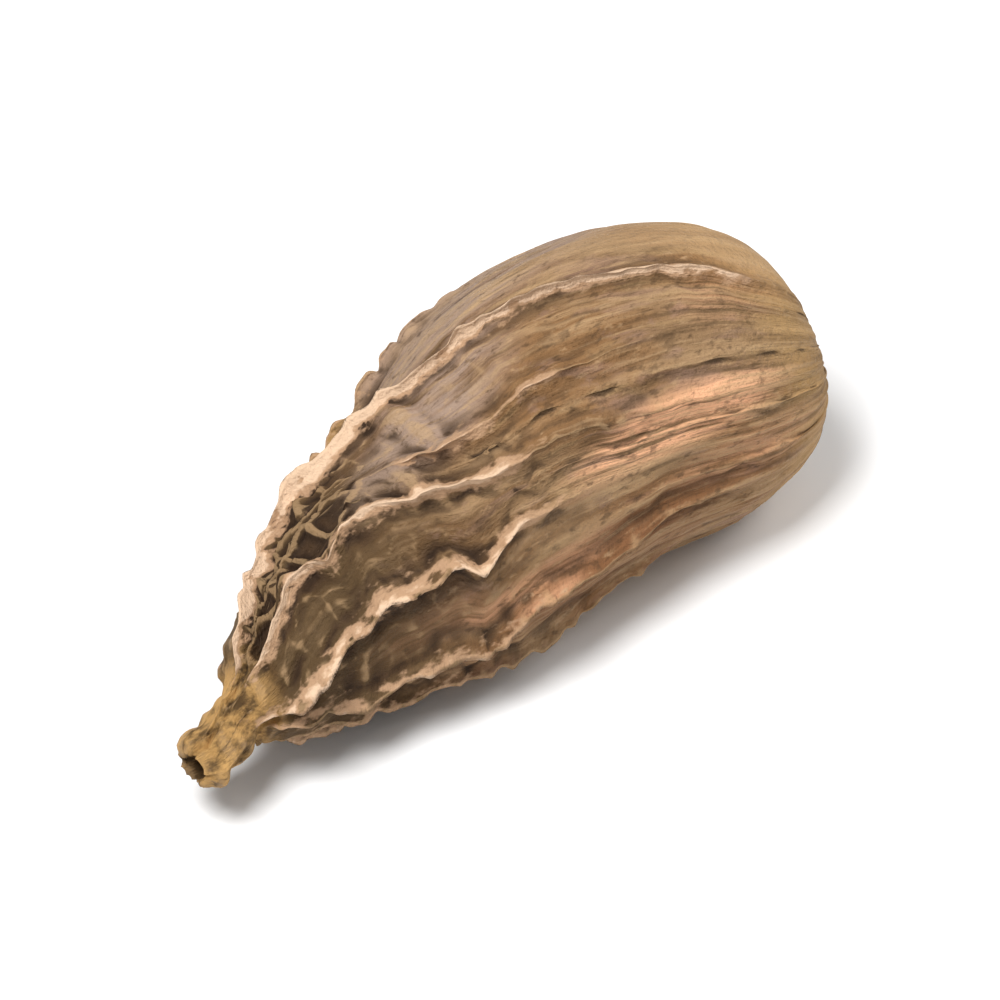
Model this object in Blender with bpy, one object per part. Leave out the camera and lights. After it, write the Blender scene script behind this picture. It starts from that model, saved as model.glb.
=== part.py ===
# Dried black cardamom pod, lying on its side on a level surface.
# +X runs from the withered flower stub at the apex to the scar at the base, where the pod broke off
# its spike. +Z is up, and the origin is on the surface under the middle of the pod.
# The whole pod grew as one piece, so it is one solid: a turned body, with its crests, ribs and the
# net near the stub raised from it by a formula. Sizes below are millimetres and degrees.
import bmesh
import bpy
import numpy as np

MM = 0.001
POD_NAME = "pod"

# Driving dimensions
POD_LENGTH = 46.0
BELLY_RADIUS = 9.7
STUB_RADIUS = 1.35
CREST_HEIGHT = 1.4
CREST_HALF_WIDTH = 1.1  # at the foot, near the apex
SETTLE_DEPTH = 1.3  # how much of the lowest crests and belly is pressed flat where the pod rests

# Turned outline from the hollow end of the stub to the scar: places as shares of POD_LENGTH, which the
# stub's rim reaches a little past, and radii
OUTLINE = [
    (0.020, 0.0),
    (0.010, 0.45 * STUB_RADIUS),
    (-0.018, 0.72 * STUB_RADIUS),
    (-0.006, 1.05 * STUB_RADIUS),
    (0.028, 1.10 * STUB_RADIUS),
    (0.068, 1.20 * STUB_RADIUS),
    (0.110, 0.30 * BELLY_RADIUS),
    (0.185, 0.44 * BELLY_RADIUS),
    (0.272, 0.61 * BELLY_RADIUS),
    (0.391, 0.78 * BELLY_RADIUS),
    (0.543, 0.95 * BELLY_RADIUS),
    (0.700, BELLY_RADIUS),
    (0.830, 0.98 * BELLY_RADIUS),
    (0.915, 0.82 * BELLY_RADIUS),
    (0.965, 0.55 * BELLY_RADIUS),
    (0.985, 0.20 * BELLY_RADIUS),
    (0.992, 0.11 * BELLY_RADIUS),
    (0.983, 0.0),
]

# The apex droops down and forward, so the centre line moves this far towards DROOP_ANGLE
DROOP_ANGLE = 127.0
DROOP = [(0, 6.4), (4, 4.7), (11, 2.9), (18, 1.8), (25, 0.1), (31, -0.3), (40, 1.0), (46, 2.6)]

# Angles go round the pod from the top (0) through the front (90) to the belly (180).
# Each crest: its half width and softness at the base, its height as a share of CREST_HEIGHT at places
# along the pod (a height below 0 is a cleft), and its angle at places along the pod.
FRONT_CRESTS = [
    (
        (0.8, 0.2),
        [(14.5, 0.0), (17.0, 0.75), (22.0, 0.6), (26.0, 0.4), (30.0, 0.0)],
        [(4, -84), (12, -80), (17, -64), (20, -60), (27, -58), (47, -38)],
    ),
    (
        (0.9, 0.0),
        [(3.0, 0.0), (6.0, 0.9), (16.0, 0.9), (22.0, 0.65), (36.0, 0.6), (42.0, 0.0)],
        [(4, -18), (7.5, -48), (11.5, -60), (14, -49), (17, -38), (22, -16), (28, -6), (39, 21),
         (47, 34)],
    ),
    (
        (0.9, 0.3),
        [(4.0, 0.0), (7.0, -0.85), (11.0, -0.7), (14.0, 0.0), (19.0, 0.55), (25.0, 0.4), (33.0, 0.0)],
        [(4, -5), (8, -30), (12, -22), (15, -8), (18.1, 10), (21.3, 18), (25, 23), (34, 34), (47, 50)],
    ),
    (
        (1.6, 1.0),
        [(3.0, 0.0), (6.0, 0.9), (10.0, 1.05), (16.0, 0.9), (22.0, 0.45), (30.0, 0.3), (37.0, 0.0)],
        [(4, 12), (8.6, -9), (9.6, -4), (10.4, 7), (14, 4), (15.5, 19), (18, 28), (22, 37), (30, 53),
         (47, 66)],
    ),
    (
        (1.2, 0.6),
        [(2.5, 0.0), (5.5, 0.9), (11.0, 1.0), (16.0, 1.1), (19.0, 0.65), (26.0, 0.0)],
        [(4, 77), (7.4, 58), (11.8, 46), (13, 52), (15.4, 50), (17, 59), (20.6, 56), (28, 69), (47, 84)],
    ),
    (
        (1.0, 0.4),
        [(3.0, 0.0), (6.0, 0.8), (15.0, 0.9), (22.0, 0.8), (30.0, 0.35), (37.0, 0.0)],
        [(5, 99), (9.5, 105), (14.5, 98), (17, 107), (20.2, 93), (23.8, 96), (30, 92), (47, 101)],
    ),
    (
        (1.0, 0.5),
        [(3.5, 0.0), (7.0, 0.85), (20.0, 0.85), (33.0, 0.0)],
        [(4, 146), (12, 134), (22, 126), (34, 119), (47, 118)],
    ),
]
BACK_CRESTS = 6
BACK_FIRST_ANGLE = 152.0
BACK_ANGLE_STEP = 21.0
BACK_PATH_AT = [4.0, 12.0, 20.0, 30.0, 47.0]
BACK_STRAY = 4.0
BACK_HEIGHTS = (0.65, 0.95)
BACK_FOOT = (1.1, 0.5)
BACK_RISE = (3.5, 7.0)
BACK_FADES_AT = 18.0
BACK_ENDS = (28.0, 38.0)
BACK_SEED = 11

# How the crests dent, meander and lean; lengths are along the pod
CREST_DENT = 0.25
CREST_DENT_LENGTH = 1.6
CREST_MEANDER = 0.3
CREST_MEANDER_LENGTH = 2.0
CREST_LEAN = 0.7
CREST_LEAN_ROOM = 0.55  # the most a crest leans, as a share of the way to the next one
CREST_LEAN_LENGTH = 3.0
LEAN_FADE = 2.0  # how fast the lean fades on the way down from the pod's widest line
FOLD_SHARPNESS = 1.8
FOLD_CROWDING = 1.5  # how much the columns crowd to a crest's top
FOOT_SHARE = 0.85  # the most of the way to the next crest that a foot covers
CREST_SEED = 100

# Skin between the crests: it sags near the apex and has ribs near the base
LEAST_ROUND = 0.3  # radius used where the pod is thinner, so that nothing is wound round its ends
SMOOTH_ENDS = 3.0  # relief fades away where the pod's radius is below this
APEX_SHARE_ENDS = (20.0, 34.0)
BASE_SHARE_STARTS = (17.0, 31.0)
SAG_DEPTH = 0.3
RIB_HEIGHT = 0.16
RIB_PATCH = 7.0  # ribs come and go in patches about this long
RIB_SEED = 8
LUMP_HEIGHT = 0.45
LUMP_SIZE = 7.0
LUMP_SEED = 3
STUB_LUMP_HEIGHT = 0.55
STUB_LUMP_SIZE = 1.9
STUB_LUMP_SEED = 6
STUB_ENDS = (3.0, 6.5)
LOBES = 3
LOBE_SHARE = 0.030
LOBE_ANGLE = 28.0

# Cross ridges that tie neighbouring crests together into a net near the stub
BRIDGES_EACH = 3
BRIDGE_ZONE = (6.0, 19.0)
BRIDGE_HEIGHTS = (0.35, 0.65)  # shares of the crests' height, times the valley's own share
BRIDGE_VALLEYS = [0.3, 1.0, 1.0, 0.2, 0.2, 0.4] + [0.6] * (BACK_CRESTS + 1)
BRIDGE_HALF_LENGTH = 0.7
BRIDGE_STRAY = (0.1, 0.9)  # where in its share of the zone a bridge may stand
BRIDGE_STEEPNESS = 4.0  # how fast a bridge rises from the crest's line to its full height
BRIDGE_SEED = 5

# Random zigzags: their number of kinks, and how many of them lie before the pod's start
KINKS = 200
KINKS_BEFORE = 20

HUSK_COLOUR = (0.26, 0.165, 0.10, 1.0)
HUSK_ROUGHNESS = 0.72

# Fineness of the solid: columns round each crest, and rows along the pod
CREST_COLUMNS = 8
ROWS = 54
ROW_CROWDING = 0.25  # how much closer the rows are at the apex than half way


def smooth(value):
    """Eases from 0 to 1."""
    value = np.clip(value, 0.0, 1.0)
    return value * value * (3.0 - 2.0 * value)


def curve_through(knots, at):
    """Height at each place of the smooth curve through the knots (place, height)."""
    place, height = np.array(knots, float).T
    slope = np.gradient(height, place)
    i = np.clip(np.searchsorted(place, at) - 1, 0, len(place) - 2)
    span = place[i + 1] - place[i]
    q = np.clip((at - place[i]) / span, 0.0, 1.0)
    start = (1 + 2 * q) * (1 - q) ** 2 * height[i] + q * (1 - q) ** 2 * span * slope[i]
    end = q * q * (3 - 2 * q) * height[i + 1] + q * q * (q - 1) * span * slope[i + 1]
    return start + end


def wander(at, wavelength, seed):
    """Random zigzag between -1 and 1 along the pod."""
    steps = np.random.default_rng(seed).uniform(-1.0, 1.0, KINKS)
    place = np.asarray(at) / wavelength + KINKS_BEFORE
    i = np.floor(place).astype(int)
    return steps[i] + (steps[i + 1] - steps[i]) * (place - i)


def lattice(x, y, z, seed):
    """A fixed random value between -1 and 1 for each whole-number place."""
    mixed = (x * 374761393 + y * 668265263 + z * 1103515245 + seed * 974634777) & 0xFFFFFFFF
    mixed = ((mixed ^ (mixed >> 13)) * 1274126177) & 0xFFFFFFFF
    return ((mixed ^ (mixed >> 16)) & 0xFFFF) / 32767.5 - 1.0


def noise(x, y, z, seed):
    """Smooth random field between -1 and 1."""
    x, y, z = np.broadcast_arrays(x, y, z)
    corner = [np.floor(v).astype(np.int64) for v in (x, y, z)]
    share = [smooth(v - c) for v, c in zip((x, y, z), corner)]
    total = np.zeros(x.shape)
    for dx in (0, 1):
        for dy in (0, 1):
            for dz in (0, 1):
                weight = 1.0
                for q, d in zip(share, (dx, dy, dz)):
                    weight = weight * (q if d else 1 - q)
                total += weight * lattice(corner[0] + dx, corner[1] + dy, corner[2] + dz, seed)
    return total


def outline(rows):
    """Place along the pod, radius and distance along the outline, for each row."""
    points = np.array(OUTLINE) * [POD_LENGTH, 1.0]
    chord = np.concatenate([[0.0], np.cumsum(np.hypot(*np.diff(points, axis=0).T))])
    q = np.linspace(0.0, 1.0, rows + 1)
    at = chord[-1] * q * (1 + ROW_CROWDING * (q - 1))
    place = curve_through(np.column_stack([chord, points[:, 0]]), at)
    radius = curve_through(np.column_stack([chord, points[:, 1]]), at)
    radius[[0, -1]] = 0.0
    return place, np.maximum(radius, 0.0), at


def crests():
    """The crests in order round the pod: those at the front as drawn, those behind by a rule."""
    draw = np.random.default_rng(BACK_SEED)
    found = list(FRONT_CRESTS)
    for k in range(BACK_CRESTS):
        middle = BACK_FIRST_ANGLE + BACK_ANGLE_STEP * k
        stray = draw.uniform(-BACK_STRAY, BACK_STRAY, len(BACK_PATH_AT))
        path = [(at, middle + s) for at, s in zip(BACK_PATH_AT, stray)]
        tall = draw.uniform(*BACK_HEIGHTS)
        end = draw.uniform(*BACK_ENDS)
        heights = [(BACK_RISE[0], 0.0), (BACK_RISE[1], tall), (BACK_FADES_AT, tall), (end, 0.0)]
        found.append((BACK_FOOT, heights, path))
    return found


def crest_lines(place, round_radius):
    """Angle in radians and height of each crest, one row for each place and one column a crest."""
    angles, heights = [], []
    for k, (_, tops, path) in enumerate(crests()):
        tall = CREST_HEIGHT * np.interp(place, *np.array(tops).T)
        dents = 1 - CREST_DENT + CREST_DENT * wander(place, CREST_DENT_LENGTH, CREST_SEED + k)
        meander = CREST_MEANDER * wander(place, CREST_MEANDER_LENGTH, 2 * CREST_SEED + k)
        meander *= np.minimum(np.abs(tall), 1.0)
        angles.append(np.radians(np.interp(place, *np.array(path).T)) + meander / round_radius)
        heights.append(tall * dents)
    return np.array(angles).T, np.array(heights).T


def crest_shape(foot, softness):
    """Height across a crest, from its top (foot 0) to its foot (1): a sharp fold or a soft round."""
    fold = (1 - foot) ** FOLD_SHARPNESS
    return fold + softness * (np.cos(np.pi / 2 * foot) ** 2 - fold)


def bridges(place, valley):
    """Height of the cross ridges in one valley, as a share of the crests beside it."""
    draw = np.random.default_rng(BRIDGE_SEED + valley)
    found = np.zeros(len(place))
    step = (BRIDGE_ZONE[1] - BRIDGE_ZONE[0]) / BRIDGES_EACH
    for k in range(BRIDGES_EACH):
        middle = BRIDGE_ZONE[0] + step * (k + draw.uniform(*BRIDGE_STRAY))
        away = (place - middle) / BRIDGE_HALF_LENGTH
        found = np.maximum(found, draw.uniform(*BRIDGE_HEIGHTS) * np.exp(-(away**2)))
    return BRIDGE_VALLEYS[valley] * found[:, None]


def skin(rows, columns):
    """Points of the pod's skin, one row a place along the pod and `columns` points round each crest."""
    place, radius, along = outline(rows)
    round_radius = np.maximum(radius, LEAST_ROUND)
    crest_angle, crest_height = crest_lines(place, round_radius)
    count = crest_angle.shape[1]
    turn = 2 * np.pi
    after = np.column_stack([crest_angle[:, 1:], crest_angle[:, 0] + turn])
    right = (crest_angle + after) / 2
    left = np.column_stack([right[:, -1] - turn, right[:, :-1]])

    across = np.arange(columns) / columns * 2.0 - 1.0
    foot = np.clip(2.0 * np.abs(across), 0.0, 1.0)
    floor = np.clip(2.0 * np.abs(across) - 1.0, 0.0, 1.0)
    apex = (1 - smooth((place - APEX_SHARE_ENDS[0]) / np.ptp(APEX_SHARE_ENDS)))[:, None]
    base = smooth((place - BASE_SHARE_STARTS[0]) / np.ptp(BASE_SHARE_STARTS))[:, None]

    angle = np.zeros((rows + 1, count * columns))
    height = np.zeros_like(angle)
    for k, ((base_width, softness), _, _) in enumerate(crests()):
        block = slice(k * columns, (k + 1) * columns)
        gap = np.where(across < 0, (crest_angle - left)[:, [k]], (right - crest_angle)[:, [k]])
        gap = gap * round_radius[:, None]
        root = np.minimum(CREST_HALF_WIDTH + (base_width - CREST_HALF_WIDTH) * base, FOOT_SHARE * gap)
        wall = crest_shape(foot, softness * base)
        reach = root * foot**FOLD_CROWDING + (gap - root) * floor
        tall = crest_height[:, [k]]
        upright = np.clip(1 + LEAN_FADE * np.cos(crest_angle[:, [k]]), 0.0, 1.0)
        room = np.minimum(CREST_LEAN_ROOM * gap.min(axis=1), CREST_LEAN)
        lean = room * (1 + wander(place, CREST_LEAN_LENGTH, 3 * CREST_SEED + k)) / 2
        lean = lean[:, None] * upright * np.clip(tall, 0.0, 1.0) * wall**2
        aside = np.sign(across) * reach + lean
        angle[:, block] = crest_angle[:, [k]] + aside / round_radius[:, None]
        tie = np.where(across < 0, bridges(place, (k - 1) % count), bridges(place, k))
        sag = SAG_DEPTH * apex * smooth(foot)
        bridge = tie * tall * smooth(BRIDGE_STEEPNESS * foot) - sag * (1 - tie)
        ridge = np.maximum(tall * wall - sag, bridge)
        patch = (1 + wander(place, RIB_PATCH, RIB_SEED + k)[:, None]) / 2
        rib = RIB_HEIGHT * base * patch * (radius[:, None] / BELLY_RADIUS) ** 2
        height[:, block] = ridge + rib * np.cos(2 * np.pi * np.abs(across))
    return place_skin(place, radius, along, angle, height)


def place_skin(place, radius, along, angle, height):
    """Raises the skin from the turned body, then bends the body."""
    rough = np.clip(radius / SMOOTH_ENDS, 0.0, 1.0)[:, None]
    round_y, round_z = np.sin(angle), np.cos(angle)
    spots = (place[:, None], radius[:, None] * round_y, radius[:, None] * round_z)
    lumps = noise(*(v / LUMP_SIZE for v in spots), LUMP_SEED)
    knobs = noise(*(v / STUB_LUMP_SIZE for v in spots), STUB_LUMP_SEED)
    stub = 1 - smooth((place - STUB_ENDS[0]) / np.ptp(STUB_ENDS))
    stub = (stub * np.clip(radius / STUB_RADIUS, 0.0, 1.0) ** 2)[:, None]
    height = (height + LUMP_HEIGHT * lumps) * rough + STUB_LUMP_HEIGHT * stub * knobs
    lobe = 1 + LOBE_SHARE * rough * np.cos(LOBES * (angle - np.radians(LOBE_ANGLE)))

    slope_place = np.gradient(place, along)[:, None]
    slope_radius = np.gradient(radius, along)[:, None]
    steep = np.hypot(slope_place, slope_radius)
    out = radius[:, None] * lobe + height * slope_place / steep
    x = place[:, None] - height * slope_radius / steep
    droop = curve_through(DROOP, place)[:, None]
    y = -(out * round_y + droop * np.sin(np.radians(DROOP_ANGLE)))
    z = out * round_z + droop * np.cos(np.radians(DROOP_ANGLE))
    return np.stack([x, y, z], axis=-1)


def settle(points):
    """Presses the lowest crests flat and puts the origin on the surface under the pod's middle."""
    points = points.copy()
    surface = points[..., 2].min() + SETTLE_DEPTH
    points[..., 2] = np.maximum(points[..., 2], surface) - surface
    flat = points.reshape(-1, 3)
    points[..., :2] -= (flat.min(axis=0) + flat.max(axis=0))[:2] / 2
    return points


def husk_material():
    """Brown, dry, fibrous husk."""
    material = bpy.data.materials.new("husk")
    material.use_nodes = True
    shader = material.node_tree.nodes["Principled BSDF"]
    shader.inputs["Base Color"].default_value = HUSK_COLOUR
    shader.inputs["Roughness"].default_value = HUSK_ROUGHNESS
    shader.inputs["Metallic"].default_value = 0.0
    return material


def make_pod(collection):
    """A UV sphere whose rings and meridians are moved to the pod's rows and columns."""
    columns = len(crests()) * CREST_COLUMNS
    points = settle(skin(ROWS, CREST_COLUMNS)) * MM
    ball = bmesh.new()
    bmesh.ops.create_uvsphere(ball, u_segments=columns, v_segments=ROWS, radius=1.0)
    for vertex in ball.verts:
        x, y, z = vertex.co
        row = round(np.arccos(np.clip(z, -1.0, 1.0)) / np.pi * ROWS)
        column = round(np.arctan2(y, x) / (2 * np.pi) * columns) % columns
        vertex.co = points[row, column]
    bmesh.ops.recalc_face_normals(ball, faces=ball.faces)
    bmesh.ops.triangulate(ball, faces=ball.faces)
    mesh = bpy.data.meshes.new(POD_NAME)
    ball.to_mesh(mesh)
    ball.free()
    mesh.shade_smooth()
    mesh.materials.append(husk_material())
    pod = bpy.data.objects.new(POD_NAME, mesh)
    collection.objects.link(pod)
    return pod


def main():
    for obj in list(bpy.data.objects):
        bpy.data.objects.remove(obj)
    collection = bpy.data.collections.new("black_cardamom_pod")
    bpy.context.scene.collection.children.link(collection)
    make_pod(collection)


main()
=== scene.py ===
import math

import bpy
import numpy as np
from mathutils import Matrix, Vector, noise


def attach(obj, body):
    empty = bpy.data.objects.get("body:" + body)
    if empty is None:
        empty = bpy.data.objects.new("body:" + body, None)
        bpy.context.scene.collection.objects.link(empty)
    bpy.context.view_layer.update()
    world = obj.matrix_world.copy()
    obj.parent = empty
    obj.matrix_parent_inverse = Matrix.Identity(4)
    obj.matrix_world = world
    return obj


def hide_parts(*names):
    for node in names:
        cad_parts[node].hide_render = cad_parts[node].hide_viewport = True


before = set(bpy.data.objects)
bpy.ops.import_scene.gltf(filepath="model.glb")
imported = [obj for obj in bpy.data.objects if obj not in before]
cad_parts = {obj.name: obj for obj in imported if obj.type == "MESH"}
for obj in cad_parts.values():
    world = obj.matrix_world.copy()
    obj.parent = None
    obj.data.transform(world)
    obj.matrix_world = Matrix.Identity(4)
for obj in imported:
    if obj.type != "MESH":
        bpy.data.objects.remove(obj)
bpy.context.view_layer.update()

MM = 0.001

# Driving dimensions
POD_LENGTH = 46.0
BELLY_RADIUS = 9.7
STUB_RADIUS = 1.35
CREST_HEIGHT = 1.4
CREST_HALF_WIDTH = 1.1  # at the foot, near the apex
SETTLE_DEPTH = 1.3  # how much of the lowest crests and belly is pressed flat where the pod rests

# Turned outline from the hollow end of the stub to the scar: places as shares of POD_LENGTH, which the
# stub's rim reaches a little past, and radii
OUTLINE = [
    (0.020, 0.0),
    (0.010, 0.45 * STUB_RADIUS),
    (-0.018, 0.72 * STUB_RADIUS),
    (-0.006, 1.05 * STUB_RADIUS),
    (0.028, 1.10 * STUB_RADIUS),
    (0.068, 1.20 * STUB_RADIUS),
    (0.110, 0.30 * BELLY_RADIUS),
    (0.185, 0.44 * BELLY_RADIUS),
    (0.272, 0.61 * BELLY_RADIUS),
    (0.391, 0.78 * BELLY_RADIUS),
    (0.543, 0.95 * BELLY_RADIUS),
    (0.700, BELLY_RADIUS),
    (0.830, 0.98 * BELLY_RADIUS),
    (0.915, 0.82 * BELLY_RADIUS),
    (0.965, 0.55 * BELLY_RADIUS),
    (0.985, 0.20 * BELLY_RADIUS),
    (0.992, 0.11 * BELLY_RADIUS),
    (0.983, 0.0),
]

# The apex droops down and forward, so the centre line moves this far towards DROOP_ANGLE
DROOP_ANGLE = 127.0
DROOP = [(0, 6.4), (4, 4.7), (11, 2.9), (18, 1.8), (25, 0.1), (31, -0.3), (40, 1.0), (46, 2.6)]

# Angles go round the pod from the top (0) through the front (90) to the belly (180).
# Each crest: its half width and softness at the base, its height as a share of CREST_HEIGHT at places
# along the pod (a height below 0 is a cleft), and its angle at places along the pod.
FRONT_CRESTS = [
    (
        (0.8, 0.2),
        [(14.5, 0.0), (17.0, 0.75), (22.0, 0.6), (26.0, 0.4), (30.0, 0.0)],
        [(4, -84), (12, -80), (17, -64), (20, -60), (27, -58), (47, -38)],
    ),
    (
        (0.9, 0.0),
        [(3.0, 0.0), (6.0, 0.9), (16.0, 0.9), (22.0, 0.65), (36.0, 0.6), (42.0, 0.0)],
        [(4, -18), (7.5, -48), (11.5, -60), (14, -49), (17, -38), (22, -16), (28, -6), (39, 21),
         (47, 34)],
    ),
    (
        (0.9, 0.3),
        [(4.0, 0.0), (7.0, -0.85), (11.0, -0.7), (14.0, 0.0), (19.0, 0.55), (25.0, 0.4), (33.0, 0.0)],
        [(4, -5), (8, -30), (12, -22), (15, -8), (18.1, 10), (21.3, 18), (25, 23), (34, 34), (47, 50)],
    ),
    (
        (1.6, 1.0),
        [(3.0, 0.0), (6.0, 0.9), (10.0, 1.05), (16.0, 0.9), (22.0, 0.45), (30.0, 0.3), (37.0, 0.0)],
        [(4, 12), (8.6, -9), (9.6, -4), (10.4, 7), (14, 4), (15.5, 19), (18, 28), (22, 37), (30, 53),
         (47, 66)],
    ),
    (
        (1.2, 0.6),
        [(2.5, 0.0), (5.5, 0.9), (11.0, 1.0), (16.0, 1.1), (19.0, 0.65), (26.0, 0.0)],
        [(4, 77), (7.4, 58), (11.8, 46), (13, 52), (15.4, 50), (17, 59), (20.6, 56), (28, 69), (47, 84)],
    ),
    (
        (1.0, 0.4),
        [(3.0, 0.0), (6.0, 0.8), (15.0, 0.9), (22.0, 0.8), (30.0, 0.35), (37.0, 0.0)],
        [(5, 99), (9.5, 105), (14.5, 98), (17, 107), (20.2, 93), (23.8, 96), (30, 92), (47, 101)],
    ),
    (
        (1.0, 0.5),
        [(3.5, 0.0), (7.0, 0.85), (20.0, 0.85), (33.0, 0.0)],
        [(4, 146), (12, 134), (22, 126), (34, 119), (47, 118)],
    ),
]
BACK_CRESTS = 6
BACK_FIRST_ANGLE = 152.0
BACK_ANGLE_STEP = 21.0
BACK_PATH_AT = [4.0, 12.0, 20.0, 30.0, 47.0]
BACK_STRAY = 4.0
BACK_HEIGHTS = (0.65, 0.95)
BACK_FOOT = (1.1, 0.5)
BACK_RISE = (3.5, 7.0)
BACK_FADES_AT = 18.0
BACK_ENDS = (28.0, 38.0)
BACK_SEED = 11

# How the crests dent, meander and lean; lengths are along the pod
CREST_DENT = 0.25
CREST_DENT_LENGTH = 1.6
CREST_MEANDER = 0.3
CREST_MEANDER_LENGTH = 2.0
CREST_LEAN = 0.7
CREST_LEAN_ROOM = 0.55  # the most a crest leans, as a share of the way to the next one
CREST_LEAN_LENGTH = 3.0
LEAN_FADE = 2.0  # how fast the lean fades on the way down from the pod's widest line
FOLD_SHARPNESS = 1.8
FOLD_CROWDING = 1.5  # how much the columns crowd to a crest's top
FOOT_SHARE = 0.85  # the most of the way to the next crest that a foot covers
CREST_SEED = 100

# Skin between the crests: it sags near the apex and has ribs near the base
LEAST_ROUND = 0.3  # radius used where the pod is thinner, so that nothing is wound round its ends
SMOOTH_ENDS = 3.0  # relief fades away where the pod's radius is below this
APEX_SHARE_ENDS = (20.0, 34.0)
BASE_SHARE_STARTS = (17.0, 31.0)
SAG_DEPTH = 0.3
RIB_HEIGHT = 0.16
RIB_PATCH = 7.0  # ribs come and go in patches about this long
RIB_SEED = 8
LUMP_HEIGHT = 0.45
LUMP_SIZE = 7.0
LUMP_SEED = 3
STUB_LUMP_HEIGHT = 0.55
STUB_LUMP_SIZE = 1.9
STUB_LUMP_SEED = 6
STUB_ENDS = (3.0, 6.5)
LOBES = 3
LOBE_SHARE = 0.030
LOBE_ANGLE = 28.0

# Cross ridges that tie neighbouring crests together into a net near the stub
BRIDGES_EACH = 3
BRIDGE_ZONE = (6.0, 19.0)
BRIDGE_HEIGHTS = (0.35, 0.65)  # shares of the crests' height, times the valley's own share
BRIDGE_VALLEYS = [0.3, 1.0, 1.0, 0.2, 0.2, 0.4] + [0.6] * (BACK_CRESTS + 1)
BRIDGE_HALF_LENGTH = 0.7
BRIDGE_STRAY = (0.1, 0.9)  # where in its share of the zone a bridge may stand
BRIDGE_STEEPNESS = 4.0  # how fast a bridge rises from the crest's line to its full height
BRIDGE_SEED = 5

# Random zigzags: their number of kinks, and how many of them lie before the pod's start
KINKS = 200
KINKS_BEFORE = 20

# Fineness of the solid and of the husk: columns round each crest, and rows along the pod
SOLID_COLUMNS = 8
SOLID_ROWS = 54
HUSK_COLUMNS = 28
HUSK_ROWS = 272
ROW_CROWDING = 0.25  # how much closer the rows are at the apex than half way

# Finer terms that only the husk has, on its crests
TOOTH = 0.22  # share of a crest's height that its torn edge gains and loses
TOOTH_LENGTH = 0.6
RIPPLE = 0.18  # sideways waves of a crest's edge
RIPPLE_LENGTH = 0.8
SWELL = 0.35  # share of a crest's width that it gains and loses
SWELL_LENGTH = 1.3
KNOBBED_CREST = 0  # this one crest is notched into a row of knobs
KNOB_DEPTH = 0.85  # share of the crest's height that a notch takes
KNOB_LENGTH = 2.4
KNOB_STRAY = 0.25  # how far a knob strays, as a share of its length
KNOB_STRAY_LENGTH = 3.0
KNOB_BREADTH = 6  # an even number; the higher it is, the broader the knobs and the narrower the notches
KNOB_SEED = 700
CRUMPLE_HEIGHT = 0.22  # lumps and dents
CRUMPLE_SIZE = 0.7
CRUMPLE_SEED = 28
FULL_CREST = 0.45  # height from which a crest counts as a full one
# Crest paleness also sets the painted cream highlight along each crest's top
CREST_PALENESS = [  # how pale each crest is, and between which places that fades
    (0.45, (20.0, 28.0)),
    (3.0, (38.0, 44.0)),
    (0.9, (24.0, 28.0)),
    (1.5, (18.0, 25.0)),
    (1.3, (19.0, 26.0)),
    (0.8, (15.0, 26.0)),
    (0.5, (14.0, 24.0)),
] + [(0.75, (18.0, 30.0))] * BACK_CRESTS

# Finer terms of the skin: wrinkles all over, creases and a net near the apex, and the stub's knobs
GRAIN_RADIUS = 9.0  # radius of the round that the fibre pattern is laid on
SEED_STEP = 17.3  # how far apart two seeds read the same noise
WRINKLES = [  # height, width across and length along of each set of raised wrinkles, and its seed
    (0.10, 2.2, 11.0, 21),
    (0.09, 0.9, 6.0, 22),
    (0.05, 0.5, 3.5, 23),
]
WRINKLE_SHARPNESS = 0.16
WRINKLE_LEVEL = 0.35  # share of a wrinkle's height that lies below the skin's level
WRINKLE_PATCH = 6.0  # wrinkles come and go in patches about this long
WRINKLE_STRENGTH = 0.6  # mean strength of the patches, and how much it varies
WRINKLE_VARIETY = 0.8
WRINKLE_LEAST = 0.35  # share of the wrinkles' height that is left towards the pod's ends
THIN_END = 0.15  # share of the belly's radius from which the wrinkles grow higher
WRINKLE_LOSS = 0.6  # share of the wrinkles' height that is lost on a crest
CREASE_HEIGHT = 0.13
CREASE_SIZE = 1.5
CREASE_ENDS = (16.0, 30.0)
CREASE_SEED = 29
NET_HEIGHT = 0.55
NET_LEVEL = 0.45  # share of the net's height that lies below the skin's level
NET_CELL = (2.2, 1.5)  # length along and width across of the net's cells
NET_EDGE = 0.16
NET_ENDS = (10.0, 18.0)
NET_BEND = 0.35  # how far the net's strands bend, and over what size
NET_BEND_SIZE = 0.8
NET_SEED = 40
NET_VALLEYS = [0.2, 1.0, 1.0, 0.15, 0.15, 0.3] + [0.5] * (BACK_CRESTS + 1)
STUB_KNOB_HEIGHT = 0.8
STUB_KNOB_SIZE = 0.8
STUB_KNOB_SEED = 27

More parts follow.
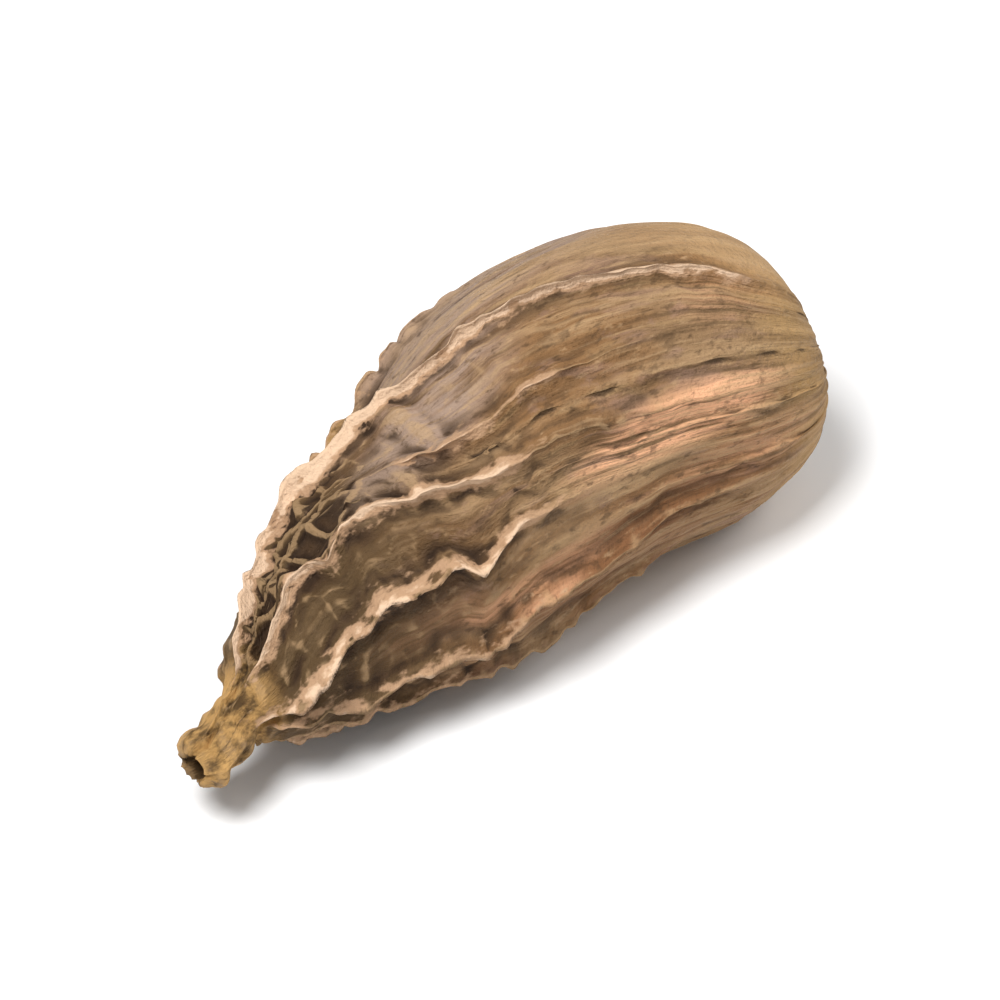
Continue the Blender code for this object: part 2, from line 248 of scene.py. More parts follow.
# Tinted patches of the skin: place and angle, half length and half angle, strength
TINTS = {
    "blush": [
        ((31.5, 60.0), (7.5, 10.0), 1.3),
        ((37.0, 82.0), (6.0, 9.0), 0.5),
        ((20.0, 88.0), (6.0, 9.0), 0.6),
        ((13.0, 76.0), (4.0, 9.0), 0.4),
        ((38.0, 28.0), (4.0, 9.0), 0.35),
        ((30.0, 200.0), (8.0, 14.0), 0.8),
        ((25.0, 285.0), (8.0, 13.0), 0.7),
    ],
    "dusk": [
        ((19.0, -4.0), (7.0, 20.0), 1.0),
        ((28.0, -45.0), (12.0, 30.0), 0.9),
        ((20.0, 240.0), (8.0, 25.0), 0.8),
        ((15.0, 160.0), (6.0, 20.0), 0.6),
    ],
    "amber": [
        ((17.0, -72.0), (4.5, 14.0), 1.0),
        ((42.0, 50.0), (3.0, 35.0), 0.4),
    ],
    "rust": [
        ((27.0, 100.0), (11.0, 22.0), 0.9),
        ((12.0, 84.0), (5.0, 16.0), 0.7),
        ((15.0, 116.0), (6.0, 16.0), 0.6),
        ((22.0, 175.0), (10.0, 20.0), 0.7),
        ((33.0, 250.0), (7.0, 22.0), 0.6),
    ],
}
TINT_EDGE = (1 / 2, 4 / 3)  # shares of a patch's half size: full tint up to the first, none from the second

# How far the skin stands out, in millimetres, from itself after these rounds of averaging; where it lies
# low, the husk's colour gets painted shade
SMOOTHINGS = {"wear": 8, "foot": 32, "hollow": 110}


def smooth(value):
    """Eases from 0 to 1."""
    value = np.clip(value, 0.0, 1.0)
    return value * value * (3.0 - 2.0 * value)


def faded(value, ends):
    """Eases from 1 at the first of the ends to 0 at the second."""
    return 1 - smooth((value - ends[0]) / np.ptp(ends))


def curve_through(knots, at):
    """Height at each place of the smooth curve through the knots (place, height)."""
    place, height = np.array(knots, float).T
    slope = np.gradient(height, place)
    i = np.clip(np.searchsorted(place, at) - 1, 0, len(place) - 2)
    span = place[i + 1] - place[i]
    q = np.clip((at - place[i]) / span, 0.0, 1.0)
    start = (1 + 2 * q) * (1 - q) ** 2 * height[i] + q * (1 - q) ** 2 * span * slope[i]
    end = q * q * (3 - 2 * q) * height[i + 1] + q * q * (q - 1) * span * slope[i + 1]
    return start + end


def wander(at, wavelength, seed):
    """Random zigzag between -1 and 1 along the pod."""
    steps = np.random.default_rng(seed).uniform(-1.0, 1.0, KINKS)
    place = np.asarray(at) / wavelength + KINKS_BEFORE
    i = np.floor(place).astype(int)
    return steps[i] + (steps[i + 1] - steps[i]) * (place - i)


def lattice(x, y, z, seed):
    """A fixed random value between -1 and 1 for each whole-number place."""
    mixed = (x * 374761393 + y * 668265263 + z * 1103515245 + seed * 974634777) & 0xFFFFFFFF
    mixed = ((mixed ^ (mixed >> 13)) * 1274126177) & 0xFFFFFFFF
    return ((mixed ^ (mixed >> 16)) & 0xFFFF) / 32767.5 - 1.0


def lattice_noise(x, y, z, seed):
    """Smooth random field between -1 and 1, with features about one unit wide."""
    x, y, z = np.broadcast_arrays(x, y, z)
    corner = [np.floor(v).astype(np.int64) for v in (x, y, z)]
    share = [smooth(v - c) for v, c in zip((x, y, z), corner)]
    total = np.zeros(x.shape)
    for dx in (0, 1):
        for dy in (0, 1):
            for dz in (0, 1):
                weight = 1.0
                for q, d in zip(share, (dx, dy, dz)):
                    weight = weight * (q if d else 1 - q)
                total += weight * lattice(corner[0] + dx, corner[1] + dy, corner[2] + dz, seed)
    return total


def outline(rows):
    """Place along the pod, radius and distance along the outline, for each row."""
    points = np.array(OUTLINE) * [POD_LENGTH, 1.0]
    chord = np.concatenate([[0.0], np.cumsum(np.hypot(*np.diff(points, axis=0).T))])
    q = np.linspace(0.0, 1.0, rows + 1)
    at = chord[-1] * q * (1 + ROW_CROWDING * (q - 1))
    place = curve_through(np.column_stack([chord, points[:, 0]]), at)
    radius = curve_through(np.column_stack([chord, points[:, 1]]), at)
    radius[[0, -1]] = 0.0
    return place, np.maximum(radius, 0.0), at


def crests():
    """The crests in order round the pod: those at the front as drawn, those behind by a rule."""
    draw = np.random.default_rng(BACK_SEED)
    found = list(FRONT_CRESTS)
    for k in range(BACK_CRESTS):
        middle = BACK_FIRST_ANGLE + BACK_ANGLE_STEP * k
        stray = draw.uniform(-BACK_STRAY, BACK_STRAY, len(BACK_PATH_AT))
        path = [(at, middle + s) for at, s in zip(BACK_PATH_AT, stray)]
        tall = draw.uniform(*BACK_HEIGHTS)
        end = draw.uniform(*BACK_ENDS)
        heights = [(BACK_RISE[0], 0.0), (BACK_RISE[1], tall), (BACK_FADES_AT, tall), (end, 0.0)]
        found.append((BACK_FOOT, heights, path))
    return found


def torn(place, k):
    """Share of its height that a crest's torn edge keeps or gains; one crest is notched into knobs."""
    if k == KNOBBED_CREST:
        phase = place / KNOB_LENGTH + KNOB_STRAY * wander(place, KNOB_STRAY_LENGTH, KNOB_SEED)
        return 1 - KNOB_DEPTH * np.cos(np.pi * phase) ** KNOB_BREADTH
    return 1 + TOOTH * wander(place, TOOTH_LENGTH, 4 * CREST_SEED + k)


def crest_lines(place, round_radius, fine):
    """Angle in radians and height of each crest, one row for each place and one column a crest."""
    angles, heights = [], []
    for k, (_, tops, path) in enumerate(crests()):
        tall = CREST_HEIGHT * np.interp(place, *np.array(tops).T)
        dents = 1 - CREST_DENT + CREST_DENT * wander(place, CREST_DENT_LENGTH, CREST_SEED + k)
        teeth = torn(place, k) if fine else 1.0
        meander = CREST_MEANDER * wander(place, CREST_MEANDER_LENGTH, 2 * CREST_SEED + k)
        meander += fine * RIPPLE * wander(place, RIPPLE_LENGTH, 5 * CREST_SEED + k)
        meander *= np.minimum(np.abs(tall), 1.0)
        angles.append(np.radians(np.interp(place, *np.array(path).T)) + meander / round_radius)
        heights.append(tall * dents * teeth)
    return np.array(angles).T, np.array(heights).T


def crest_shape(foot, softness):
    """Height across a crest, from its top (foot 0) to its foot (1): a sharp fold or a soft round."""
    fold = (1 - foot) ** FOLD_SHARPNESS
    return fold + softness * (np.cos(np.pi / 2 * foot) ** 2 - fold)


def bridges(place, valley):
    """Height of the cross ridges in one valley, as a share of the crests beside it."""
    draw = np.random.default_rng(BRIDGE_SEED + valley)
    found = np.zeros(len(place))
    step = (BRIDGE_ZONE[1] - BRIDGE_ZONE[0]) / BRIDGES_EACH
    for k in range(BRIDGES_EACH):
        middle = BRIDGE_ZONE[0] + step * (k + draw.uniform(*BRIDGE_STRAY))
        away = (place - middle) / BRIDGE_HALF_LENGTH
        found = np.maximum(found, draw.uniform(*BRIDGE_HEIGHTS) * np.exp(-(away**2)))
    return BRIDGE_VALLEYS[valley] * found[:, None]


def pattern_points(place, radius, grain):
    """Where a pattern is read: along the pod, and round a circle that the crests don't bend."""
    place = np.broadcast_to(place, grain.shape)
    return np.stack([place, radius * np.sin(grain), radius * np.cos(grain)], axis=-1)


def field(points, size, seed):
    """Smooth random field between -1 and 1 at each point, with features of the given size."""
    return lattice_noise(*np.moveaxis(points / size, -1, 0), seed)


def sampled(function, points, length, width, seed):
    """Value of a noise function at each point, stretched to a length along and a width across."""
    scaled = points.reshape(-1, 3) / [length, width, width] + seed * SEED_STEP
    return np.array([function(p) for p in scaled.tolist()]).reshape(points.shape[:-1])


def net_edge(point):
    """Distance from the border between the two nearest cells."""
    nearest, second = noise.voronoi(point)[0][:2]
    return second - nearest


def wrinkled(radius, fibres):
    """Height of the raised wrinkles, which run along the pod and come and go in patches."""
    height = np.zeros(fibres.shape[:-1])
    for tall, width, length, seed in WRINKLES:
        wave = sampled(noise.noise, fibres, length, width, seed)
        patch = WRINKLE_STRENGTH + WRINKLE_VARIETY * field(fibres, WRINKLE_PATCH, seed)
        ridge = np.exp(-((wave / WRINKLE_SHARPNESS) ** 2)) - WRINKLE_LEVEL
        height += tall * ridge * np.maximum(patch, 0.0)
    girth = np.clip(radius / BELLY_RADIUS, THIN_END, 1.0)[:, None]
    return height * (WRINKLE_LEAST + (1 - WRINKLE_LEAST) * girth)


def fine_relief(place, radius, fibres, spots, crest, valley_net):
    """Height of all the finer terms, and how deep each point lies in a hole of the net."""
    creased = faded(place, CREASE_ENDS)[:, None]
    creases = CREASE_HEIGHT * creased * (1 - 2 * np.abs(field(spots, CREASE_SIZE, CREASE_SEED)))
    netted = faded(place, NET_ENDS)[:, None] * valley_net
    bent = [NET_BEND * field(spots, NET_BEND_SIZE, NET_SEED + 1 + axis) for axis in range(3)]
    edge = sampled(net_edge, spots + np.stack(bent, axis=-1), *NET_CELL, NET_SEED)
    strand = np.exp(-((edge / NET_EDGE) ** 2))
    net = NET_HEIGHT * netted * (strand - NET_LEVEL)
    lumps = CRUMPLE_HEIGHT * field(spots, CRUMPLE_SIZE, CRUMPLE_SEED)
    stub = faded(place, STUB_ENDS)[:, None]
    bulb = STUB_KNOB_HEIGHT * stub * field(spots, STUB_KNOB_SIZE, STUB_KNOB_SEED)
    relief = wrinkled(radius, fibres) * (1 - WRINKLE_LOSS * crest)
    relief += (creases + net) * (1 - crest) + lumps * crest + bulb
    return relief, netted * (1 - strand) * (1 - crest)


def neighbours(angles):
    """The angles of the columns before and after each one, going once round the pod."""
    before = np.roll(angles, 1, axis=-1)
    after = np.roll(angles, -1, axis=-1)
    before[..., 0] -= 2 * np.pi
    after[..., -1] += 2 * np.pi
    return before, after


def skin(rows, columns, fine):
    """Points of the solid's skin (fine 0) or the husk's (fine 1), and values for the husk's material.

    Each row is a place along the pod, and it has `columns` points round each crest.
    """
    place, radius, along = outline(rows)
    round_radius = np.maximum(radius, LEAST_ROUND)
    crest_angle, crest_height = crest_lines(place, round_radius, fine)
    count = crest_angle.shape[1]
    before, after = neighbours(crest_angle)
    left, right = (before + crest_angle) / 2, (crest_angle + after) / 2
    usual = np.median(crest_angle, axis=0)
    usual_before, usual_after = neighbours(usual)

    across = np.arange(columns) / columns * 2.0 - 1.0
    foot = np.clip(2.0 * np.abs(across), 0.0, 1.0)
    floor = np.clip(2.0 * np.abs(across) - 1.0, 0.0, 1.0)
    apex = faded(place, APEX_SHARE_ENDS)[:, None]
    base = 1 - faded(place, BASE_SHARE_STARTS)[:, None]

    angle, height, grain, crest, edge_pale_and_lit, valley_net = np.zeros((6, rows + 1, count * columns))
    for k, ((base_width, softness), _, _) in enumerate(crests()):
        block = slice(k * columns, (k + 1) * columns)
        gap = np.where(across < 0, (crest_angle - left)[:, [k]], (right - crest_angle)[:, [k]])
        gap = gap * round_radius[:, None]
        root = np.minimum(CREST_HALF_WIDTH + (base_width - CREST_HALF_WIDTH) * base, FOOT_SHARE * gap)
        root = root * (1 + fine * SWELL * wander(place, SWELL_LENGTH, 6 * CREST_SEED + k)[:, None])
        wall = crest_shape(foot, softness * base)
        reach = root * foot**FOLD_CROWDING + (gap - root) * floor
        tall = crest_height[:, [k]]
        upright = np.clip(1 + LEAN_FADE * np.cos(crest_angle[:, [k]]), 0.0, 1.0)
        room = np.minimum(CREST_LEAN_ROOM * gap.min(axis=1), CREST_LEAN)
        lean = room * (1 + wander(place, CREST_LEAN_LENGTH, 3 * CREST_SEED + k)) / 2
        lean = lean[:, None] * upright * np.clip(tall, 0.0, 1.0) * wall**2
        aside = np.sign(across) * reach + lean
        angle[:, block] = crest_angle[:, [k]] + aside / round_radius[:, None]
        tie = np.where(across < 0, bridges(place, (k - 1) % count), bridges(place, k))
        sag = SAG_DEPTH * apex * smooth(foot)
        bridge = tie * tall * smooth(BRIDGE_STEEPNESS * foot) - sag * (1 - tie)
        ridge = np.maximum(tall * wall - sag, bridge)
        patch = (1 + wander(place, RIB_PATCH, RIB_SEED + k)[:, None]) / 2
        rib = RIB_HEIGHT * base * patch * (radius[:, None] / BELLY_RADIUS) ** 2
        height[:, block] = ridge + rib * np.cos(2 * np.pi * np.abs(across))

        step = np.where(across < 0, usual_before[k] - usual[k], usual_after[k] - usual[k])
        grain[:, block] = usual[k] + reach / gap * step / 2
        paleness, fade = CREST_PALENESS[k]
        crest[:, block] = wall * np.clip(tall / FULL_CREST, 0.0, 1.0)
        # The crest's pale edge, which also carries the painted highlight along its top
        edge_pale_and_lit[:, block] = crest[:, block] * paleness * faded(place, fade)[:, None]
        valley_net[:, block] = np.where(across < 0, NET_VALLEYS[(k - 1) % count], NET_VALLEYS[k])
    fibres = pattern_points(place[:, None], GRAIN_RADIUS, grain)
    spots = pattern_points(place[:, None], radius[:, None], grain)
    pit = np.zeros(angle.shape)
    if fine:
        relief, pit = fine_relief(place, radius, fibres, spots, crest, valley_net)
        height += relief
    points = place_skin(place, radius, along, angle, height)
    return points, {"crest": edge_pale_and_lit, "pit": pit, "grain": fibres, "spot": points, "turn": np.degrees(angle)}


def place_skin(place, radius, along, angle, height):
    """Raises the skin from the turned body, then bends the body."""
    rough = np.clip(radius / SMOOTH_ENDS, 0.0, 1.0)[:, None]
    round_y, round_z = np.sin(angle), np.cos(angle)
    spots = (place[:, None], radius[:, None] * round_y, radius[:, None] * round_z)
    lumps = lattice_noise(*(v / LUMP_SIZE for v in spots), LUMP_SEED)
    knobs = lattice_noise(*(v / STUB_LUMP_SIZE for v in spots), STUB_LUMP_SEED)
    stub = faded(place, STUB_ENDS)
    stub = (stub * np.clip(radius / STUB_RADIUS, 0.0, 1.0) ** 2)[:, None]
    height = (height + LUMP_HEIGHT * lumps) * rough + STUB_LUMP_HEIGHT * stub * knobs
    lobe = 1 + LOBE_SHARE * rough * np.cos(LOBES * (angle - np.radians(LOBE_ANGLE)))

    slope_place = np.gradient(place, along)[:, None]
    slope_radius = np.gradient(radius, along)[:, None]
    steep = np.hypot(slope_place, slope_radius)
    out = radius[:, None] * lobe + height * slope_place / steep
    x = place[:, None] - height * slope_radius / steep
    droop = curve_through(DROOP, place)[:, None]
    y = -(out * round_y + droop * np.sin(np.radians(DROOP_ANGLE)))
    z = out * round_z + droop * np.cos(np.radians(DROOP_ANGLE))
    return np.stack([x, y, z], axis=-1)


def patches(place, angle, spots):
    """How much each point lies in any of the spots, which are listed as TINTS says."""
    found = np.zeros(angle.shape)
    for (middle, turned), (length, width), strength in spots:
        away = (angle - turned + 180.0) % 360.0 - 180.0
        distance = np.hypot((place - middle) / length, away / width)
        found = np.maximum(found, strength * faded(distance, TINT_EDGE))
    return found


def settle(points, solid):
    """Lays the points down as the solid lies: pressed flat below, the origin under its middle."""
    surface = solid[..., 2].min() + SETTLE_DEPTH
    flat = solid.reshape(-1, 3)
    points = points.copy()
    points[..., 2] = np.maximum(points[..., 2], surface) - surface
    points[..., :2] -= (flat.min(axis=0) + flat.max(axis=0))[:2] / 2
    return points


def averaged(points, rounds):
    """The skin's points after repeated averaging with the points round them."""
    for _ in range(rounds):
        sides = (np.roll(points, 1, axis=1) + np.roll(points, -1, axis=1)) / 2
        ends = points.copy()
        ends[1:-1] = (points[2:] + points[:-2]) / 2
        points = (points + sides + ends) / 3
    return points


def grid_mesh(name, points):
    """Closed mesh from rows of points round the pod; the first and last rows are single points."""
    rows, columns = points.shape[0] - 1, points.shape[1]
    ring = points[1:-1].reshape(-1, 3)
    vertices = np.vstack([ring, points[0, :1], points[-1, :1]]) * MM
    first, last = len(ring), len(ring) + 1
    here = np.arange((rows - 2) * columns).reshape(rows - 2, columns)
    beside = np.roll(here, -1, axis=1)
    quads = np.stack([here, beside, beside + columns, here + columns], axis=-1).reshape(-1, 4)
    faces = quads.tolist()
    end = (rows - 2) * columns
    for c in range(columns):
        d = (c + 1) % columns
        faces.append([first, d, c])
        faces.append([last, end + c, end + d])
    mesh = bpy.data.meshes.new(name)
    mesh.from_pydata(vertices.tolist(), [], faces)
    mesh.update()
    return mesh


def on_points(values):
    """Values of the rows of points in the order of the mesh's vertices."""
    inner = values[1:-1].reshape((-1,) + values.shape[2:])
    return np.concatenate([inner, values[0, :1], values[-1, :1]])


def add_attribute(mesh, name, values):
    """Stores a number or a vector on each vertex."""
    kind, key = ("FLOAT", "value") if values.ndim == 1 else ("FLOAT_VECTOR", "vector")
    layer = mesh.attributes.new(name, kind, "POINT")
    layer.data.foreach_set(key, values.astype(np.float32).ravel())


def make_husk():
    """The pod's skin, fine enough for its crests, net and wrinkles, with its material's values."""
    solid, _ = skin(SOLID_ROWS, SOLID_COLUMNS, 0)
    raw, values = skin(HUSK_ROWS, HUSK_COLUMNS, 1)
    mesh = grid_mesh("husk", settle(raw, solid))
    normals = np.zeros(len(mesh.vertices) * 3)
    mesh.vertices.foreach_get("normal", normals)
    normals = normals.reshape(-1, 3)
    for name, rounds in SMOOTHINGS.items():
        lift = on_points(raw - averaged(raw, rounds))
        add_attribute(mesh, name, np.einsum("ij,ij->i", lift, normals))
    for name in ("crest", "pit", "grain", "spot"):
        add_attribute(mesh, name, on_points(values[name]))
    place = values["grain"][..., 0]
    for name, spots in TINTS.items():
        add_attribute(mesh, name, on_points(patches(place, values["turn"], spots)))
    mesh.shade_smooth()
    husk = bpy.data.objects.new("husk", mesh)
    bpy.context.scene.collection.objects.link(husk)
    return husk


# Colours, as linear red, green and blue
# GROOVE is the scar's own dark colour, and the painted shade in hollows, the net's pits and cracks
GROOVE = (0.022, 0.010, 0.004)
# SHADE darkens random fibres and blotches, and is the painted shade along the crests' feet
SHADE = (0.075, 0.040, 0.018)
BODY = (0.252, 0.131, 0.053)
PALE = (0.480, 0.308, 0.160)
GREY = (0.270, 0.168, 0.085)
OLIVE = (0.126, 0.067, 0.028)
APEX = (0.085, 0.050, 0.020)
DUSK = (0.360, 0.250, 0.185)
RUST = (0.205, 0.086, 0.032)
AMBER = (0.360, 0.210, 0.075)
LILAC = (0.300, 0.180, 0.130)
TAN = (0.360, 0.225, 0.105)
SAND = (0.550, 0.335, 0.138)
BLUSH = (0.860, 0.450, 0.250)
PEACH = (0.490, 0.300, 0.175)
# Painted highlight along the crests' tops
CREAM_HIGHLIGHT = (0.800, 0.570, 0.390)
GOLD = (0.640, 0.370, 0.130)

# Gloss and bumps of the husk
SPECULAR = 0.2
ROUGHNESS = (0.78, 0.6)  # of the dark fibres and of the light ones
FRAY = 1.3  # how much the flecks eat into a crest's pale edge
GRIT = {"Scale": 4.5, "Detail": 4.0, "Roughness": 0.6}
BUMP_DEPTH = 0.2
THREAD_BUMP = 0.6  # these four are shares of BUMP_DEPTH
STREAK_BUMP = 0.9
GRIT_BUMP = 0.9
BLOTCH_BUMP = 1.6


class Nodes:
    """Short calls for building one material's nodes."""

    def __init__(self, material):
        self.tree = material.node_tree

    def put(self, value, socket):
        """Links a socket to another, or sets its value; a colour may leave out its opacity."""
        if isinstance(value, bpy.types.NodeSocket):
            self.tree.links.new(value, socket)
        elif isinstance(value, tuple) and len(value) < len(socket.default_value):
            socket.default_value = (*value, 1.0)
        else:
            socket.default_value = value

    def add(self, kind, values=None, **settings):
        """Adds a node with its settings and the values of its inputs."""
        node = self.tree.nodes.new(kind)
        for name, value in settings.items():
            setattr(node, name, value)
        for key, value in (values or {}).items():
            self.put(value, node.inputs[key])
        return node

    def attribute(self, name, output="Fac"):
        """A value that the mesh stores on its vertices."""
        return self.add("ShaderNodeAttribute", attribute_name=name).outputs[output]

    def math(self, operation, a, b):
        """Two values put together by an operation."""
        return self.add("ShaderNodeMath", {0: a, 1: b}, operation=operation).outputs[0]

    def times(self, first, *others):
        """The product of the values."""
        for other in others:
            first = self.math("MULTIPLY", first, other)
        return first

    def between(self, value, low, high, to_low=0.0, to_high=1.0):
        """Rescales a value so that low gives to_low and high gives to_high, easing between them."""
        values = {"Value": value, "From Min": low, "From Max": high, "To Min": to_low, "To Max": to_high}
        return self.add("ShaderNodeMapRange", values, interpolation_type="SMOOTHSTEP").outputs["Result"]

    def fibres(self, points, length, width, shift, detail=3.0, roughness=0.55):
        """Noise stretched along the husk's fibres, from 0 to 1; sizes are millimetres."""
        scale = (1 / length, 1 / width, 1 / width)
        mapping = {"Vector": points, "Location": (shift, shift, 0.0), "Scale": scale}
        place = self.add("ShaderNodeMapping", mapping).outputs[0]
        values = {"Vector": place, "Scale": 1.0, "Detail": detail, "Roughness": roughness}
        return self.add("ShaderNodeTexNoise", values).outputs["Fac"]

    def blend(self, a, b, share):
        """Colour a with a share of colour b over it."""
        return self.add("ShaderNodeMix", {6: a, 7: b, 0: share}, data_type="RGBA").outputs[2]


def husk_material():
    """Dry fibrous husk: painted shade in its grooves and pits, pale crest edges with a painted cream
    highlight along their tops, golden at the stub.
    """
    material = bpy.data.materials.new("husk")
    material.use_nodes = True
    make = Nodes(material)
    grain = make.attribute("grain", "Vector")
    spot = make.attribute("spot", "Vector")
    crest = make.attribute("crest")
    # Fine lift: below zero in small cracks, which get painted shade; above zero on small raised spots,
    # which are paler
    wear = make.attribute("wear")
    place = make.add("ShaderNodeSeparateXYZ", {0: grain}).outputs[0]

    clouds = make.fibres(grain, 9.0, 5.0, shift=3.0, detail=2.0)
    bands = make.fibres(grain, 14.0, 1.5, shift=21.0)
    streaks = make.fibres(grain, 8.0, 0.5, shift=8.0)
    threads = make.fibres(grain, 3.0, 0.2, shift=5.0)
    lilac_veins = make.fibres(grain, 5.0, 1.3, shift=41.0)
    tan_veins = make.fibres(grain, 5.5, 1.1, shift=57.0)
    blotches = make.fibres(spot, 2.2, 1.3, shift=71.0, detail=4.0, roughness=0.65)
    flecks = make.fibres(spot, 1.0, 0.5, shift=11.0)
    edge_patches = make.fibres(spot, 2.2, 1.1, shift=31.0)

    # The fibres fade towards the apex, and the crests' pale edges, with their painted highlight, come and
    # go in patches and are frayed
    lined = make.between(place, 13.0, 27.0, 0.3, 1.0)
    patchy_edge = make.times(crest, make.between(edge_patches, 0.32, 0.58, 0.25, 1.15))
    edge = make.math("ADD", patchy_edge, make.times(make.math("SUBTRACT", flecks, 0.5), FRAY))

    # Each tint covers those before it by its share
    layers = [
        # Broad tints of the skin
        (GREY, make.between(clouds, 0.42, 0.62, 0.0, 0.7)),
        (LILAC, make.between(lilac_veins, 0.53, 0.66, 0.0, 0.55)),
        (TAN, make.between(tan_veins, 0.54, 0.68, 0.0, 0.7)),
        (OLIVE, make.between(place, 25.0, 13.0, 0.0, 0.8)),
        (SHADE, make.between(blotches, 0.46, 0.30, 0.0, 0.5)),
        (LILAC, make.between(blotches, 0.56, 0.70, 0.0, 0.45)),
        (DUSK, make.times(make.attribute("dusk"), make.between(bands, 0.30, 0.50))),
        (RUST, make.times(make.attribute("rust"), make.between(clouds, 0.30, 0.50))),
        (AMBER, make.times(make.attribute("amber"), make.between(blotches, 0.30, 0.50))),
        (BLUSH, make.times(make.attribute("blush"), make.between(streaks, 0.30, 0.60))),
        # Light and dark fibres
        (PALE, make.between(bands, 0.50, 0.68, 0.0, 0.5)),
        (SHADE, make.between(bands, 0.46, 0.30, 0.0, 0.5)),
        (PALE, make.times(make.between(streaks, 0.53, 0.68, 0.0, 0.6), lined)),
        (SHADE, make.times(make.between(streaks, 0.46, 0.28, 0.0, 0.55), lined)),
        (SHADE, make.between(flecks, 0.45, 0.30, 0.0, 0.6)),
        (PALE, make.between(flecks, 0.57, 0.72, 0.0, 0.4)),
        # Sandy base with its dark scar, and the dark apex
        (SAND, make.times(make.between(place, 36.0, 42.0, 0.0, 0.6),
                          make.between(bands, 0.38, 0.56, 0.5, 1.0))),
        (GROOVE, make.between(place, 44.9, 45.5, 0.0, 0.8)),
        (APEX, make.between(place, 19.0, 9.0, 0.0, 0.85)),
        # Painted shade in the depths: hollows, the net's pits, the feet of the crests, and cracks
        (GROOVE, make.times(make.between(make.attribute("hollow"), 0.05, -0.32),
                            make.between(place, 17.0, 8.0, 0.35, 0.97))),
        # painted shade in the net's holes
        (GROOVE, make.between(make.attribute("pit"), 0.15, 0.80, 0.0, 0.88)),
        # painted shade along the feet of the crests
        (SHADE, make.times(make.between(make.attribute("foot"), -0.02, -0.14, 0.0, 0.8),
                           make.between(blotches, 0.30, 0.60, 0.45, 0.95),
                           make.between(place, 17.0, 27.0, 1.0, 0.3))),
        # painted shade in small cracks
        (GROOVE, make.times(make.between(wear, -0.03, -0.12), make.between(place, 26.0, 16.0, 0.3, 0.9))),
        (SHADE, make.times(make.between(threads, 0.45, 0.25, 0.0, 0.4), lined)),
        # Paler small raised spots, the golden stub, and the crests' pale edges with their painted cream
        # highlight
        (PALE, make.between(wear, 0.012, 0.070, 0.0, 0.5)),
        (GOLD, make.times(make.between(place, 5.4, 3.2, 0.0, 0.9),
                          make.between(blotches, 0.36, 0.58, 0.1, 1.0))),
        (PEACH, make.between(edge, 0.20, 0.55, 0.0, 0.9)),
        # Painted highlight along the crests' tops
        (CREAM_HIGHLIGHT, make.between(edge, 0.65, 1.10, 0.0, 0.8)),
    ]
    colour = BODY
    for tint, share in layers:
        colour = make.blend(colour, tint, share)

    grit = make.add("ShaderNodeTexNoise", {"Vector": grain, **GRIT}).outputs["Fac"]
    height = make.math("ADD", make.times(threads, THREAD_BUMP), make.times(streaks, STREAK_BUMP))
    height = make.math("ADD", make.times(height, lined), make.times(grit, GRIT_BUMP))
    height = make.math("ADD", height, make.times(blotches, BLOTCH_BUMP))
    bump = make.add("ShaderNodeBump", {"Strength": 1.0, "Distance": BUMP_DEPTH * MM, "Height": height})

    shader = material.node_tree.nodes["Principled BSDF"]
    make.put(colour, shader.inputs["Base Color"])
    make.put(make.between(streaks, 0.3, 0.7, *ROUGHNESS), shader.inputs["Roughness"])
    make.put(bump.outputs[0], shader.inputs["Normal"])
    shader.inputs["Specular IOR Level"].default_value = SPECULAR
    return material


# Camera: its lens and sensor in millimetres, angles in degrees, the rest in metres
VIEW_AZIMUTH = -40.0
VIEW_ELEVATION = 44.0
VIEW_WIDTH = 0.057
VIEW_TARGET = (0.0018, -0.0015, 0.0069)
LENS = 200.0
SENSOR = 36.0
CLIP_START = 0.01

# Floor, surround and lights
FLOOR_HALF = 0.6  # half the floor's side, in metres
FLOOR_WHITE = 0.9
FLOOR_ROUGHNESS = 0.9
WHITE = (1.0, 1.0, 1.0, 1.0)
SURROUND = 0.33
LIGHTS = [  # name, azimuth and elevation in degrees, distance and size in metres, power in watts
    ("key", -80.0, 66.0, 0.40, 0.14, 1.7),
    ("fill", 75.0, 40.0, 0.50, 0.25, 1.0),
]


def direction(azimuth, elevation):
    """Unit vector from the object towards a place in the room."""
    a, e = math.radians(azimuth), math.radians(elevation)
    return Vector((math.sin(a) * math.cos(e), -math.cos(a) * math.cos(e), math.sin(e)))


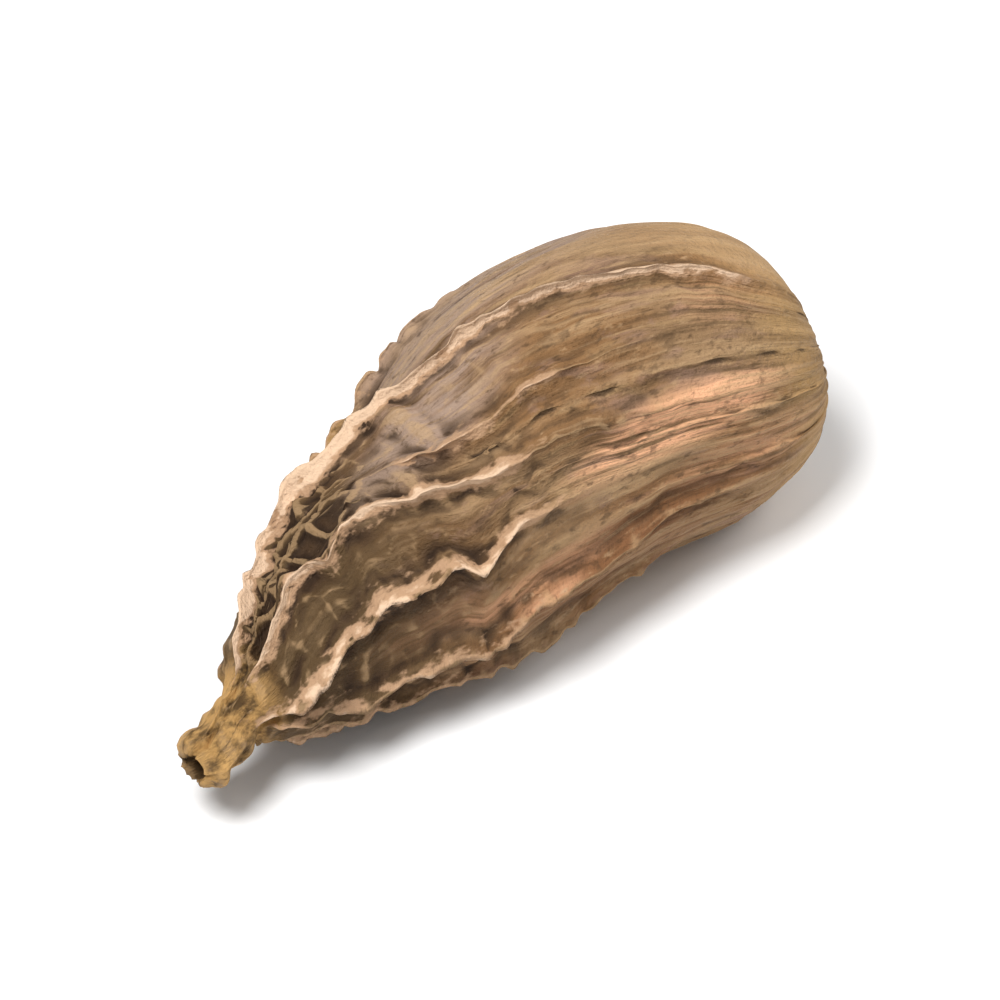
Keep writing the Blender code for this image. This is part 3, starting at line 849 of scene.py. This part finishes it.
def make_camera():
    """Camera at the photograph's viewing angle, far enough for its sensor to see VIEW_WIDTH."""
    camera = bpy.data.objects.new("camera", bpy.data.cameras.new("camera"))
    bpy.context.scene.collection.objects.link(camera)
    camera.data.lens = LENS
    camera.data.sensor_width = SENSOR
    camera.data.clip_start = CLIP_START
    back = direction(VIEW_AZIMUTH, VIEW_ELEVATION)
    camera.location = Vector(VIEW_TARGET) + back * (VIEW_WIDTH * LENS / SENSOR)
    camera.rotation_euler = (-back).to_track_quat("-Z", "Y").to_euler()
    bpy.context.scene.camera = camera


def make_light(name, azimuth, elevation, distance, size, power):
    """Soft square light that faces the pod."""
    data = bpy.data.lights.new(name, "AREA")
    data.size = size
    data.energy = power
    light = bpy.data.objects.new(name, data)
    bpy.context.scene.collection.objects.link(light)
    away = direction(azimuth, elevation)
    light.location = away * distance
    light.rotation_euler = (-away).to_track_quat("-Z", "Y").to_euler()


def make_room():
    """Pale floor, an even white surround, and two soft lights."""
    mesh = bpy.data.meshes.new("floor")
    corners = [(-1, -1), (1, -1), (1, 1), (-1, 1)]
    mesh.from_pydata([(x * FLOOR_HALF, y * FLOOR_HALF, 0.0) for x, y in corners], [], [(0, 1, 2, 3)])
    floor = bpy.data.objects.new("floor", mesh)
    bpy.context.scene.collection.objects.link(floor)
    paint = bpy.data.materials.new("floor")
    paint.use_nodes = True
    shader = paint.node_tree.nodes["Principled BSDF"]
    shader.inputs["Base Color"].default_value = (FLOOR_WHITE, FLOOR_WHITE, FLOOR_WHITE, 1.0)
    shader.inputs["Roughness"].default_value = FLOOR_ROUGHNESS
    mesh.materials.append(paint)

    world = bpy.data.worlds.new("surround")
    bpy.context.scene.world = world
    world.use_nodes = True
    background = world.node_tree.nodes["Background"]
    background.inputs["Color"].default_value = WHITE
    background.inputs["Strength"].default_value = SURROUND
    for light in LIGHTS:
        make_light(*light)


husk = make_husk()
husk.data.materials.append(husk_material())
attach(husk, "root")
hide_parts("pod")

make_camera()
make_room()
bpy.context.scene.view_settings.view_transform = "Standard"
